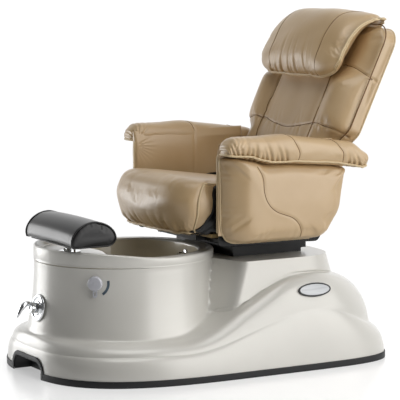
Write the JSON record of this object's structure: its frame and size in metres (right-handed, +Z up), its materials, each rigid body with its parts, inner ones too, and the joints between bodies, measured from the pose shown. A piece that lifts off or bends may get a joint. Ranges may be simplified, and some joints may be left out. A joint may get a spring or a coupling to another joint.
{
  "type": "pedicure spa chair",
  "caption": "Pedicure chair: a reclining leather seat with lift-up arms slides on a moulded plinth whose front carries an oval foot tub with footrest, mixer and drain knob.",
  "frame": {"origin": "on the floor under the middle of the whole chair's bounding box", "axes": "+Z up; the tub and the sitter's feet point along -Y; +X is the sitter's left"},
  "size_m": [1.03, 1.6767, 1.4517],
  "materials": {
    "gelcoat": "pearl-white glossy gelcoat over a moulded shell",
    "basin_acrylic": "glossy acrylic",
    "black_rubber": "matte black rubber",
    "black_paint": "black powder coat",
    "steel": "zinc-plated steel",
    "chrome": "bright chrome",
    "brass": "cast brass",
    "copper_pipe": "drawn copper",
    "pvc": "grey-white PVC",
    "black_plastic": "moulded black plastic",
    "knob_plastic": "grey-white plastic",
    "scale_print": "blue-grey scale band",
    "silver_plate": "bare brushed plate",
    "black_vinyl": "black upholstery vinyl",
    "leather": "tan upholstery leather",
    "plywood": "birch plywood"
  },
  "bodies": {
    "base": {"base_shell": "gelcoat", "kick_strip": "black_rubber", "toe_recess": "black_plastic", "steel_chassis": "steel", "floor_feet": "black_rubber", "tub_basin": "basin_acrylic", "drain_strainer": "chrome", "drain_pipe": "pvc", "drain_valve": "brass", "drain_cable": "black_plastic", "fill_spout": "chrome", "mixed_pipe": "copper_pipe", "supply_pipes": "copper_pipe", "mixer_body": "brass", "mixer_plate": "chrome", "knob_housing": "chrome", "knob_scale": "scale_print", "jet_cover": "chrome", "jet_motor": "black_plastic", "control_box": "black_plastic", "name_plate": "silver_plate", "name_plate_bezel": "black_plastic", "footrest_socket": "chrome", "bed_plate": "black_paint", "rail_box": "black_paint", "slide_rails": "steel", "slide_motor": "steel"},
    "mixer_turning_hub": {"mixer_hub": "chrome"},
    "mixer_handle": {"mixer_lever": "chrome"},
    "drain_control": {"drain_knob": "knob_plastic"},
    "jet_rotor": {"jet_impeller": "pvc"},
    "footrest": {"footrest_post": "chrome", "footrest_plate": "plywood", "footrest_pad": "black_vinyl"},
    "seat": {"slide_rod": "chrome", "carriage": "black_paint", "runners": "steel", "seat_frame": "black_paint", "side_plates": "black_paint", "seat_pan": "plywood", "seat_cushion": "leather", "recline_motor": "steel", "arm_pivots": "steel"},
    "recline_ram": {"recline_rod": "chrome"},
    "arm_left": {"arm_plate_left": "black_paint", "arm_panel_left": "leather", "arm_pad_left": "leather"},
    "arm_right": {"arm_plate_right": "black_paint", "arm_panel_right": "leather", "arm_pad_right": "leather"},
    "back": {"back_frame": "black_paint", "back_board": "plywood", "back_cushion": "leather", "back_cover": "leather", "head_pillow": "leather"}
  },
  "joints": [
    {"name": "mixer_turn", "type": "hinge", "parent": "base", "child": "mixer_turning_hub", "pos_m": [0, -0.74016, 0.268], "axis": [0, -0.9902, 0.1395], "range_deg": [-50, 50]},
    {"name": "mixer_flow", "type": "hinge", "parent": "mixer_turning_hub", "child": "mixer_handle", "pos_m": [0, -0.77128, 0.27643], "axis": [-1, 0, 0], "range_deg": [0, 25]},
    {"name": "drain_turn", "type": "hinge", "parent": "base", "child": "drain_control", "pos_m": [0.24805, -0.60891, 0.393], "axis": [0.7677, -0.6408, 0], "range_deg": [0, 90]},
    {"name": "jet_spin", "type": "hinge", "parent": "base", "child": "jet_rotor", "pos_m": [-0.2571, -0.3305, 0.29], "axis": [0.99, 0, 0.1409], "continuous": true},
    {"name": "footrest_height", "type": "slide", "parent": "base", "child": "footrest", "axis": [0, 0, 1], "range_m": [0, 0.06]},
    {"name": "seat_slide", "type": "slide", "parent": "base", "child": "seat", "axis": [0, -1, 0], "range_m": [-0.02, 0.08]},
    {"name": "recline", "type": "hinge", "parent": "seat", "child": "back", "pos_m": [0, 0.4095, 0.6], "axis": [-1, 0, 0], "range_deg": [0, 35]},
    {"name": "recline_push", "type": "slide", "parent": "seat", "child": "recline_ram", "axis": [0, -1, 0], "range_m": [-0.002, 0.046]},
    {"name": "arm_left_lift", "type": "hinge", "parent": "seat", "child": "arm_left", "pos_m": [0, 0.3195, 0.66], "axis": [-1, 0, 0], "range_deg": [0, 60]},
    {"name": "arm_right_lift", "type": "hinge", "parent": "seat", "child": "arm_right", "pos_m": [0, 0.3195, 0.66], "axis": [-1, 0, 0], "range_deg": [0, 60]}
  ],
  "couplings": [
    {"joint": "recline_push", "follows": "recline", "m_per_rad": 0.0686}
  ]
}
